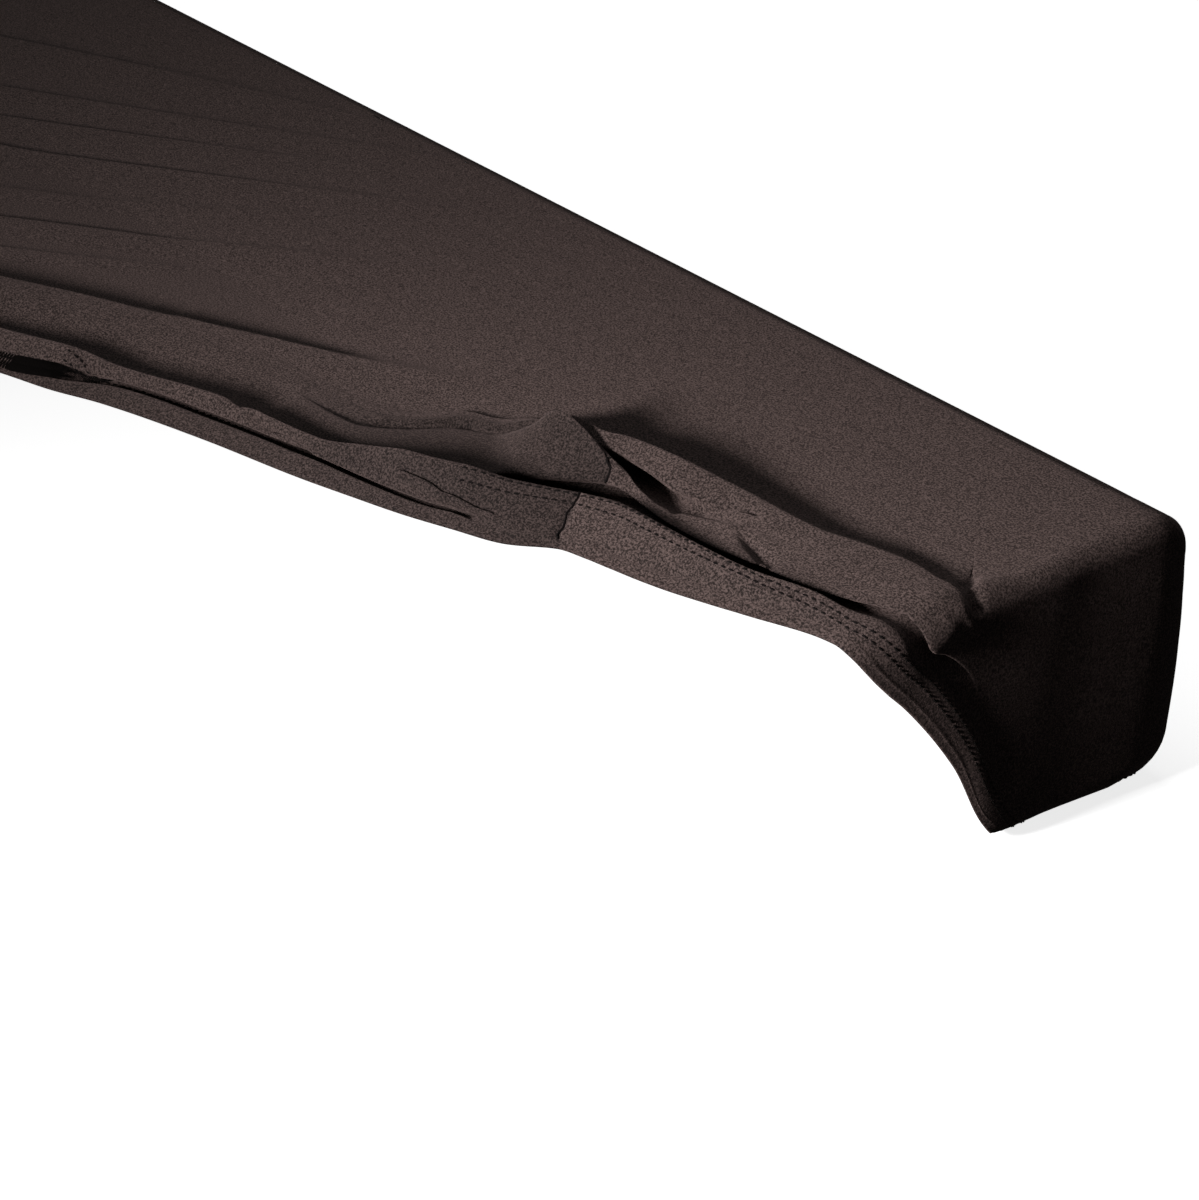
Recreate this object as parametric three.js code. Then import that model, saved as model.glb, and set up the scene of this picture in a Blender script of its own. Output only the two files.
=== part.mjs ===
// A fitted dust cover in one piece of stretch knit, hollow and open below, with a turned hem all round.
// Its right front corner is pulled back: from the middle of the front the hem runs slantwise over the
// top and down the right end, in a bundle of folds.
//
// Frame: millimetres, +X along the cover to its right end, +Y to its back, +Z up. The origin is on the
// underside of the top, at the middle of the length, where the cloth is carried from below.

import * as THREE from "three";

// Sizes of the fitted cover, measured outside
const LENGTH = 1066;
const FRONT = -240;
const BACK = 119;
const BOTTOM = -101.3;
const SHEET = 1.6; // the knit
const HEM = 2.2; // the turned hem, in two layers

// The top slopes up to the back, and lies level in front
const SLOPE = 0.09;
const LEVEL = -3.8;
const BLEND = 8; // half the width of the bend between slope and level
const FRONT_FALL = 12; // how far the front edge lies below the level
const FALL_DEPTH = 55; // where that fall begins, from the front edge

// Roundings of the walls' sections, and the hem's turn under them
const INSET = 17; // from the outline to the rim of the top
const EDGE = 11;
const BACK_EDGE = 16;
const FOOT = 10;
const TUCK = 24;
const BULGE = 1.5;
const BACK_LEAN = 9; // how far the back wall leans out at its foot
const CORNER = 15; // from an upright corner to where its wall runs straight
const BACK_KNOT = 84; // the back wall's columns stand closer right of here, as the folds do
const END_KNOT = 70; // the right end's wall is plain behind here

const END = LENGTH / 2;
const UNDERSIDE = SHEET * Math.hypot(1, SLOPE); // upright thickness of the sloping top
const RIM = { left: INSET - END, right: END - INSET, front: FRONT + INSET, back: BACK - INSET };

// Sections of the fold bundle, from the front round the pulled-back corner to the right end.
// hem and top are the section's ends on the flat pattern, which runs on over the right edge and down
// the end wall. Each fold has its distance in from the hem and its rise above the support:
// the lip and gap of the hem's lower half, the crest of the hem band, the valley behind it, the root
// and belly of the roll that hangs over that valley, and the crest of the roll. Sway moves the roll's
// face along the hem.
const FOLD_COLUMNS = [
  "hemX", "hemY", "topX", "topY", "lipUp", "gapIn", "gapUp", "bandIn", "bandUp", "valleyIn", "valleyUp",
  "rootIn", "rootUp", "bellyIn", "bellyUp", "crestIn", "crestUp", "sway",
];
const FOLD_ROWS = {
  front1: [122, -216, 95, -150, 4, 15, 2, 17, 7, 26, 2, 36, 2, 46, 3, 57, 3, 0],
  front2: [187, -190, 151, -118, 6, 18, 2, 17, 12, 27, 5, 36, 2, 48, 3, 60, 3, 0],
  front3: [231, -170, 191, -100, 6, 18, 2, 17, 13, 27, 5, 36, 3, 48, 3, 60, 3, 0],
  front4: [279, -152, 235, -84, 6, 18, 2, 18, 15, 28, 7, 36, 4, 48, 4, 58, 4, 0],
  front5: [328, -137, 275, -67, 6, 15, 4, 18, 15, 26, 5, 33, 5, 40, 8, 48, 9, 0],
  front6: [371, -121, 302, -47, 5, 10, 6, 21, 15.5, 26, 2.5, 41, 2, 38, 6, 56, 11, 0],
  front7: [408, -103, 320, -24, 4, 11, 7, 24, 14.5, 29, 1.5, 50, 2, 46, 7, 72, 16, 5],
  corner: [423, -87, 327, -15, 4, 11, 7, 23, 14, 28, 1.5, 52, 2, 48, 8, 68, 22, 17],
  end1: [439, -82, 347, -6, 4, 12, 6.5, 27, 13, 32, 1.5, 65, 2, 61, 7, 80, 16, 12],
  end2: [465, -74, 373, 3, 4, 12, 6, 28, 12, 33, 1.5, 57, 2, 53, 7, 80, 15, 4],
  end3: [493, -62, 403, 11, 3.5, 12, 5.5, 28, 10, 33, 1.5, 50, 2, 47, 6, 71, 13, 0],
  end4: [515, -49, 441, 18, 3, 11, 4, 25, 7, 30, 1.5, 42, 2, 40, 5, 58, 12, 0],
  end5: [536, -39, 483, 24, 3, 9, 4, 20, 6, 25, 1.5, 34, 2, 33, 5, 46, 10, 0],
  end6: [559, -23, 507, 30, 3, 9, 4, 19, 6, 24, 1.5, 32, 1.5, 36, 3, 47, 5, 0],
  end7: [590, 0, 514, 38, 3, 9, 4, 19, 6, 25, 1.5, 34, 1, 48, 2, 66, 2, 0],
  end8: [631, 28, 516, 52, 3, 9, 3, 18, 4, 26, 1, 51, 1, 78, 1, 102, 1, 0],
};
const LIP_AT = 0.5; // the lip's place between hem and gap
const HEM_RISE = 0.6;
const TROUGH_AT = 0.5; // the trough's place between the roll's crest and the rim
const TROUGH_RISE = 0.12; // its height, as a share of the crest's
const FACE_AT = 0.5; // the middle of the roll's face, between its crest and its belly
const FACE_RISE = 0.4;
const SWAY_SHARES = [0, 0, 0, 0.55, 1, 0.9, 0.6, 0.45, 0.2, 0.1, 0];

// The front wall left of the folds, more and more pulled up: the rim's y, and the cloth from rim to hem
const PULLED_COLUMNS = ["x", "rimY", "reach"];
const PULLED_ROWS = [
  [67, -171, 71],
  [7, -203, 78],
  [-53, -219, 108],
];
const FRONT_KNOT = -113; // the front wall is whole left of here

// Long creases drawn across the top by the pull: ends, height, and the widths of the two flanks
const CREASE_COLUMNS = ["x0", "y0", "x1", "y1", "height", "frontWidth", "backWidth"];
const CREASE_ROWS = [
  [57, -148, 272, -37, 6, 24, 12],
  [-3, -113, 187, 22, 3, 20, 14],
];

// Steps along each span of a section, from the rim of the top to the hem
const SPAN_STEPS = [1, 2, 2, 2, 1, 2, 2, 2, 1, 1];
const BAND_SPAN = 7; // the hem's double layer begins after this span

const rowsOf = (columns, row) => Object.fromEntries(columns.map((name, i) => [name, row[i]]));
const mix = (a, b, t) => a + (b - a) * t;
const clamp = (value, low, high) => Math.min(high, Math.max(low, value));

// Height of the cloth's outer face where it is carried: a slope and a level joined by a
// parabola, with the front edge falling away.
function topHeight(y) {
  const slope = UNDERSIDE + SLOPE * y;
  const bend = (LEVEL - UNDERSIDE) / SLOPE;
  const past = clamp(y - bend + BLEND, 0, 2 * BLEND);
  const joined = y > bend + BLEND ? slope : LEVEL + (SLOPE * past * past) / (4 * BLEND);
  const fall = Math.max(0, (FRONT + FALL_DEPTH - y) / FALL_DEPTH);
  return joined - FRONT_FALL * fall * fall;
}

// Height of the long creases at a point of the top: each is a soft ridge that swells and dies away.
function creaseHeight(x, y) {
  let height = 0;
  for (const row of CREASE_ROWS) {
    const c = rowsOf(CREASE_COLUMNS, row);
    const run = Math.hypot(c.x1 - c.x0, c.y1 - c.y0);
    const ux = (c.x1 - c.x0) / run;
    const uy = (c.y1 - c.y0) / run;
    const along = ((x - c.x0) * ux + (y - c.y0) * uy) / run;
    const across = (y - c.y0) * ux - (x - c.x0) * uy;
    const swell = along > 0 && along < 1 ? Math.sin(Math.PI * along) ** 2 : 0;
    const width = across > 0 ? c.backWidth : c.frontWidth;
    height += c.height * swell * Math.exp(-((across / width) ** 2));
  }
  return height;
}

// A point of the flat pattern, with its rise above the support, folded over the right edge.
function wrap({ x: a, y: b, z: rise }) {
  const start = END - EDGE;
  const turn = clamp((a - start) / EDGE, 0, Math.PI / 2);
  const drop = Math.max(0, a - start - (EDGE * Math.PI) / 2);
  const x = Math.min(a, start) + (EDGE + rise) * Math.sin(turn);
  return new THREE.Vector3(x, b, topHeight(b) + (EDGE + rise) * Math.cos(turn) - EDGE - drop);
}

// A smooth curve through a section's points, with a fixed number of steps on each span.
function sectionCurve(points) {
  const curve = new THREE.CatmullRomCurve3(points, false, "centripetal");
  const spans = points.length - 1;
  const rows = [];
  SPAN_STEPS.forEach((steps, span) => {
    for (let i = 0; i < steps; i++) rows.push(curve.getPoint((span + i / steps) / spans));
  });
  rows.push(points[spans].clone());
  return rows;
}

// A section through the fold bundle, from the rim of the top to the hem.
function foldSection(name) {
  const f = rowsOf(FOLD_COLUMNS, FOLD_ROWS[name]);
  const run = Math.hypot(f.topX - f.hemX, f.topY - f.hemY);
  const ux = (f.topX - f.hemX) / run;
  const uy = (f.topY - f.hemY) / run;
  const stops = [
    [run, 0],
    [mix(f.crestIn, run, TROUGH_AT), TROUGH_RISE * f.crestUp],
    [f.crestIn, f.crestUp],
    [mix(f.crestIn, f.bellyIn, FACE_AT), mix(f.crestUp, f.bellyUp, FACE_RISE)],
    [f.bellyIn, f.bellyUp],
    [f.rootIn, f.rootUp],
    [f.valleyIn, f.valleyUp],
    [f.bandIn, f.bandUp],
    [f.gapIn, f.gapUp],
    [f.gapIn * LIP_AT, f.lipUp],
    [0, HEM_RISE],
  ];
  const points = stops.map(([inward, rise], i) => {
    const aside = f.sway * SWAY_SHARES[i];
    return new THREE.Vector3(f.hemX + ux * inward + uy * aside, f.hemY + uy * inward - ux * aside, rise);
  });
  return sectionCurve(points).map(wrap);
}

// A section down an upright wall: over the edge, down, round the foot and under to the hem.
// flat is the way from the rim of the top to the edge. A pulled-up wall ends after its reach of cloth.
function wallSection(x, y, nx, ny, { edge = EDGE, flat = INSET - edge, lean = 0, reach } = {}) {
  const quarter = Math.PI / 2;
  const wall = topHeight(y) - BOTTOM - edge - FOOT;
  const edgeEnd = flat + edge * quarter;
  const wallEnd = edgeEnd + wall;
  const footEnd = wallEnd + FOOT * quarter;
  const spans = SPAN_STEPS.length;
  const stops = reach
    ? SPAN_STEPS.map((_, i) => (reach * (i + 1)) / spans)
    : [
        flat, mix(flat, edgeEnd, 0.5), edgeEnd, mix(edgeEnd, wallEnd, 0.25), mix(edgeEnd, wallEnd, 0.5),
        mix(edgeEnd, wallEnd, 0.75), wallEnd, mix(wallEnd, footEnd, 0.5), footEnd, footEnd + TUCK - FOOT,
      ];
  const points = [0, ...stops].map((s) => {
    const turn = clamp((s - flat) / edge, 0, quarter);
    const down = clamp(s - edgeEnd, 0, wall);
    const foot = clamp((s - wallEnd) / FOOT, 0, quarter);
    const under = Math.max(0, s - footEnd);
    const swell = BULGE * Math.sin((Math.PI * down) / wall) + (lean * down) / wall;
    const out = Math.min(s, flat) + edge * Math.sin(turn) + swell - FOOT * (1 - Math.cos(foot)) - under;
    const drop = edge * (1 - Math.cos(turn)) + down + FOOT * Math.sin(foot);
    return new THREE.Vector3(x + nx * out, y + ny * out, topHeight(y) - drop);
  });
  return sectionCurve(points);
}

// A section of the pulled-up front wall.
function pulledSection(row) {
  const p = rowsOf(PULLED_COLUMNS, row);
  return wallSection(p.x, p.rimY, 0, -1, { flat: p.rimY - FRONT - EDGE, reach: p.reach });
}

// The sections in order round the rim, each with the number of columns up to the next one:
// the back from left to right, the right end, the folds, the front to the left, and the left end.
const DIAGONAL = Math.SQRT1_2;
const BACK_WALL = { edge: BACK_EDGE, lean: BACK_LEAN };
const BACK_CORNER = { lean: BACK_LEAN * DIAGONAL };
const rimSections = [
  { name: "backLeft", rows: wallSection(RIM.left, RIM.back, -DIAGONAL, DIAGONAL, BACK_CORNER), columns: 2 },
  { rows: wallSection(RIM.left + CORNER, RIM.back, 0, 1, BACK_WALL), columns: 17 },
  { rows: wallSection(BACK_KNOT, RIM.back, 0, 1, BACK_WALL), columns: 31 },
  { rows: wallSection(RIM.right - CORNER, RIM.back, 0, 1, BACK_WALL), columns: 2 },
  { name: "backRight", rows: wallSection(RIM.right, RIM.back, DIAGONAL, DIAGONAL, BACK_CORNER), columns: 2 },
  { rows: wallSection(RIM.right, RIM.back - CORNER, 1, 0), columns: 2 },
  { rows: wallSection(RIM.right, END_KNOT, 1, 0), columns: 2 },
  { rows: foldSection("end8"), columns: 3 },
  { name: "topRight", rows: foldSection("end7"), columns: 3 },
  { rows: foldSection("end6"), columns: 2 },
  { rows: foldSection("end5"), columns: 2 },
  { rows: foldSection("end4"), columns: 2 },
  { rows: foldSection("end3"), columns: 2 },
  { rows: foldSection("end2"), columns: 2 },
  { rows: foldSection("end1"), columns: 2 },
  { rows: foldSection("corner"), columns: 2 },
  { rows: foldSection("front7"), columns: 2 },
  { rows: foldSection("front6"), columns: 2 },
  { rows: foldSection("front5"), columns: 3 },
  { rows: foldSection("front4"), columns: 3 },
  { rows: foldSection("front3"), columns: 2 },
  { rows: foldSection("front2"), columns: 3 },
  { rows: foldSection("front1"), columns: 2 },
  { rows: pulledSection(PULLED_ROWS[0]), columns: 3 },
  { rows: pulledSection(PULLED_ROWS[1]), columns: 3 },
  { rows: pulledSection(PULLED_ROWS[2]), columns: 3 },
  { rows: wallSection(FRONT_KNOT, RIM.front, 0, -1), columns: 7 },
  { rows: wallSection(RIM.left + CORNER, RIM.front, 0, -1), columns: 2 },
  { name: "frontLeft", rows: wallSection(RIM.left, RIM.front, -DIAGONAL, -DIAGONAL), columns: 2 },
  { rows: wallSection(RIM.left, RIM.front + CORNER, -1, 0), columns: 5 },
  { rows: wallSection(RIM.left, RIM.back - CORNER, -1, 0), columns: 2 },
];

// Slope of a cubic through three values that never overshoots them.
function limitedSlope(before, after, gapBefore, gapAfter) {
  if (before * after <= 0) return 0;
  const weightBefore = 2 * gapAfter + gapBefore;
  const weightAfter = gapAfter + 2 * gapBefore;
  return (weightBefore + weightAfter) / (weightBefore / before + weightAfter / after);
}

// Columns of the skirt: each row of points runs round the rim as a cubic through the sections.
function loftColumns(sections) {
  const count = sections.length;
  const at = (i) => sections[(i + count) % count].rows;
  const gaps = sections.map((section, i) => {
    const far = section.rows.map((point, r) => point.distanceTo(at(i + 1)[r]));
    return far.reduce((sum, d) => sum + d, 0) / far.length;
  });
  const gap = (i) => gaps[(i + count) % count];
  const slopeAt = (i, r, axis) =>
    limitedSlope(
      (at(i)[r][axis] - at(i - 1)[r][axis]) / gap(i - 1),
      (at(i + 1)[r][axis] - at(i)[r][axis]) / gap(i),
      gap(i - 1),
      gap(i),
    );
  const columns = [];
  sections.forEach((section, i) => {
    section.first = columns.length;
    for (let k = 0; k < section.columns; k++) {
      const t = k / section.columns;
      const rise = t * t * (3 - 2 * t);
      const column = section.rows.map((point, r) => {
        const value = (axis) =>
          mix(point[axis], at(i + 1)[r][axis], rise) +
          gap(i) * (t * (1 - t) ** 2 * slopeAt(i, r, axis) - t * t * (1 - t) * slopeAt(i + 1, r, axis));
        return new THREE.Vector3(value("x"), value("y"), value("z"));
      });
      columns.push(column);
    }
  });
  return columns;
}

// The outer face: skirt columns, and a top whose rows join the front rim straight to the back rim.
function outerFace() {
  const columns = loftColumns(rimSections);
  const first = Object.fromEntries(rimSections.map((section) => [section.name, section.first]));
  const rowCount = columns[0].length;
  const columnCount = columns.length;
  const across = first.backRight - first.backLeft;
  const deep = first.topRight - first.backRight;
  const rimIndex = (column) => ((column + columnCount) % columnCount) * rowCount;
  const frontIndex = (u) => rimIndex(first.frontLeft - u);
  const backIndex = (u) => rimIndex(first.backLeft + u);
  const leftIndex = (v) => rimIndex(first.frontLeft + v);
  const rightIndex = (v) => rimIndex(first.topRight - v);
  const points = columns.flat();
  const doubled = points.map((_, i) => i % rowCount);
  const share = (index, from, to) => (points[index].y - points[from].y) / (points[to].y - points[from].y);
  const leftShare = (v) => share(leftIndex(v), leftIndex(0), leftIndex(deep));
  const rightShare = (v) => share(rightIndex(v), rightIndex(0), rightIndex(deep));
  const quads = [];
  for (let c = 0; c < columnCount; c++) {
    for (let r = 0; r + 1 < rowCount; r++) {
      const here = rimIndex(c) + r;
      const next = rimIndex(c + 1) + r;
      quads.push([here, next, next + 1, here + 1]);
    }
  }
  const grid = [];
  for (let u = 0; u <= across; u++) {
    grid.push([]);
    for (let v = 0; v <= deep; v++) {
      if (v === 0) grid[u].push(frontIndex(u));
      else if (v === deep) grid[u].push(backIndex(u));
      else if (u === 0) grid[u].push(leftIndex(v));
      else if (u === across) grid[u].push(rightIndex(v));
      else {
        const t = mix(leftShare(v), rightShare(v), u / across);
        const point = points[frontIndex(u)].clone().lerp(points[backIndex(u)], t);
        point.z = topHeight(point.y) + creaseHeight(point.x, point.y);
        grid[u].push(points.length);
        points.push(point);
        doubled.push(0);
      }
    }
  }
  for (let u = 0; u < across; u++) {
    for (let v = 0; v < deep; v++) {
      quads.push([grid[u][v], grid[u + 1][v], grid[u + 1][v + 1], grid[u][v + 1]]);
    }
  }
  const hem = columns.map((_, c) => rimIndex(c) + rowCount - 1);
  return { points, doubled, quads, hem };
}

// One closed body: the outer face, an inner face set in by the cloth's thickness, and the hem's edge.
function coverGeometry() {
  const { points, doubled, quads, hem } = outerFace();
  const outer = new THREE.BufferGeometry().setFromPoints(points);
  const triangles = quads.flatMap(([a, b, c, d]) => {
    const straight = points[a].distanceTo(points[c]) <= points[b].distanceTo(points[d]);
    return straight ? [[a, b, c], [a, c, d]] : [[a, b, d], [b, c, d]];
  });
  outer.setIndex(triangles.flat());
  outer.computeVertexNormals();
  const normals = outer.getAttribute("normal");
  const bandRow = SPAN_STEPS.slice(0, BAND_SPAN).reduce((sum, steps) => sum + steps, 0);
  const inner = points.map((point, i) => {
    const depth = doubled[i] >= bandRow ? HEM : SHEET;
    return point.clone().addScaledVector(new THREE.Vector3().fromBufferAttribute(normals, i), -depth);
  });
  const shift = points.length;
  const faces = triangles.flatMap(([a, b, c]) => [a, b, c, c + shift, b + shift, a + shift]);
  hem.forEach((a, i) => {
    const b = hem[(i + 1) % hem.length];
    faces.push(a, b, b + shift, a, b + shift, a + shift);
  });
  const geometry = new THREE.BufferGeometry().setFromPoints([...points, ...inner]);
  geometry.setIndex(faces);
  geometry.computeVertexNormals();
  return geometry;
}

const knit = new THREE.MeshStandardMaterial({ color: 0x483e3a, roughness: 0.9, metalness: 0 });
const cover = new THREE.Mesh(coverGeometry(), knit);
cover.name = "cover";

const group = new THREE.Group();
group.add(cover);

export default group;
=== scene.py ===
import bpy
import numpy as np
from mathutils import Matrix, Vector


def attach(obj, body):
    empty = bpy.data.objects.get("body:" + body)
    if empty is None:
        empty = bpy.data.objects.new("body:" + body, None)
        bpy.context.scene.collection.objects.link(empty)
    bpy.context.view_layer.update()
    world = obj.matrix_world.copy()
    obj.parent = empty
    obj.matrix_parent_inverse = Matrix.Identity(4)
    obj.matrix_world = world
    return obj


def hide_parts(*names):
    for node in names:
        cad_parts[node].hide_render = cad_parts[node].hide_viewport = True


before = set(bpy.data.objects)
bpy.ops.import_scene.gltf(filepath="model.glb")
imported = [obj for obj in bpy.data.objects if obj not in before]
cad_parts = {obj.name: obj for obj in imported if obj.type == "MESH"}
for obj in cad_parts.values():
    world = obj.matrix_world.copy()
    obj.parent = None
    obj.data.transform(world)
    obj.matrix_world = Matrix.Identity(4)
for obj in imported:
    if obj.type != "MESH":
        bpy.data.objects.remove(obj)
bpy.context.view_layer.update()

# The view: a long lens above the right front corner of the cover, looking along it to the back left.
# Its place is in metres, and its three directions are in the frame of the cover.
camera_place = Vector((1.0665, -0.5628, 0.38928))
camera_right = Vector((0.5837, 0.8099, 0.0578))
camera_down = Vector((0.4014, -0.2259, -0.8876))
camera_view = Vector((-0.7059, 0.5413, -0.4569))
camera_data = bpy.data.cameras.new("camera")
camera_data.sensor_width = 36
camera_data.lens = 76.46
camera_data.clip_end = 50
camera = bpy.data.objects.new("camera", camera_data)
camera_axes = Matrix((camera_right, -camera_down, -camera_view)).transposed()
camera.matrix_world = Matrix.Translation(camera_place) @ camera_axes.to_4x4()
bpy.context.collection.objects.link(camera)
bpy.context.scene.camera = camera

# The cover: one piece of stretch knit, top and skirt in one, drawn over a block and held by its turned hem.
# Its right front corner is pulled back, so that skirt and hem lie in a bundle of folds across the top.
# Sizes are millimetres, on a flat pattern whose x runs to the right end and whose y runs to the back.
mm = 0.001
length = 1066.0
front = -240.0
back = 119.0
bottom = -103.0
end = length / 2
inset = 17.0  # from the outline to the rim of the top
edge = 8.0  # rounding between the top and the walls
back_edge = 20.4
foot = 10.0  # rounding at the foot of the walls
back_foot = 19.0
tuck = 24.0  # how far the hem lies in under the block
corner_tuck = 0.5  # the same at the upright corners, past the foot's rounding
corner_run = 26.0  # from an upright corner to where its wall runs straight
slope = 0.09  # of the top, whose front part lies level
level = -3.8
blend = 8.0  # half the width of the bend between slope and level
front_fall = 12.0  # how far the front edge lies below the level
fall_depth = 55.0  # where that fall begins, from the front edge
bulge = 1.5  # swell of the walls
back_lean = 7.6  # how far the back wall leans out at its foot
knit_thickness = 1.6


def top_height(y):
    """Outer face of the cloth on the block: a slope, a parabola and a level, falling at the front edge."""
    start = knit_thickness * np.hypot(1, slope)
    bend = (level - start) / slope
    past = np.clip(y - bend + blend, 0, 2 * blend)
    joined = np.where(y > bend + blend, start + slope * y, level + slope * past**2 / (4 * blend))
    return joined - front_fall * np.maximum(0, (front + fall_depth - y) / fall_depth) ** 2


def drape(pattern):
    """Folds the flat pattern over the block. The nearest point of the flat top is found, and the way beyond
    it goes round the edge, down the wall, round the foot and under; rise stands off along the normal."""
    a, b, rise = np.moveaxis(pattern, -1, 0)
    near_x = np.clip(a, edge - end, end - edge)
    near_y = np.clip(b, front + edge, back - back_edge)
    beyond = np.maximum(np.hypot(a - near_x, b - near_y), 1e-6)
    out_x = (a - near_x) / beyond
    out_y = (b - near_y) / beyond
    backward = np.maximum(out_y, 0)
    radius = 1 / np.sqrt((1 - backward**2) / edge**2 + (backward / back_edge) ** 2)
    low = foot + (back_foot - foot) * backward
    quarter = np.pi / 2
    top = top_height(near_y)
    wall = top - bottom - radius - low
    turn = np.clip(beyond / radius, 0, quarter)
    down = np.clip(beyond - radius * quarter, 0, wall)
    foot_turn = np.clip((beyond - radius * quarter - wall) / low, 0, quarter)
    under = np.maximum(0, beyond - radius * quarter - wall - low * quarter)
    swell = bulge * np.sin(np.pi * down / wall)
    lean = back_lean * backward * down / wall
    out = radius * np.sin(turn) + swell - low * (1 - np.cos(foot_turn)) - under
    out = out + rise * np.sin(turn + foot_turn)
    drop = radius * (1 - np.cos(turn)) + down + low * np.sin(foot_turn)
    height = top - drop + rise * np.cos(turn + foot_turn)
    return np.stack([near_x + out_x * out, near_y + out_y * out + lean, height], -1)


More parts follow.
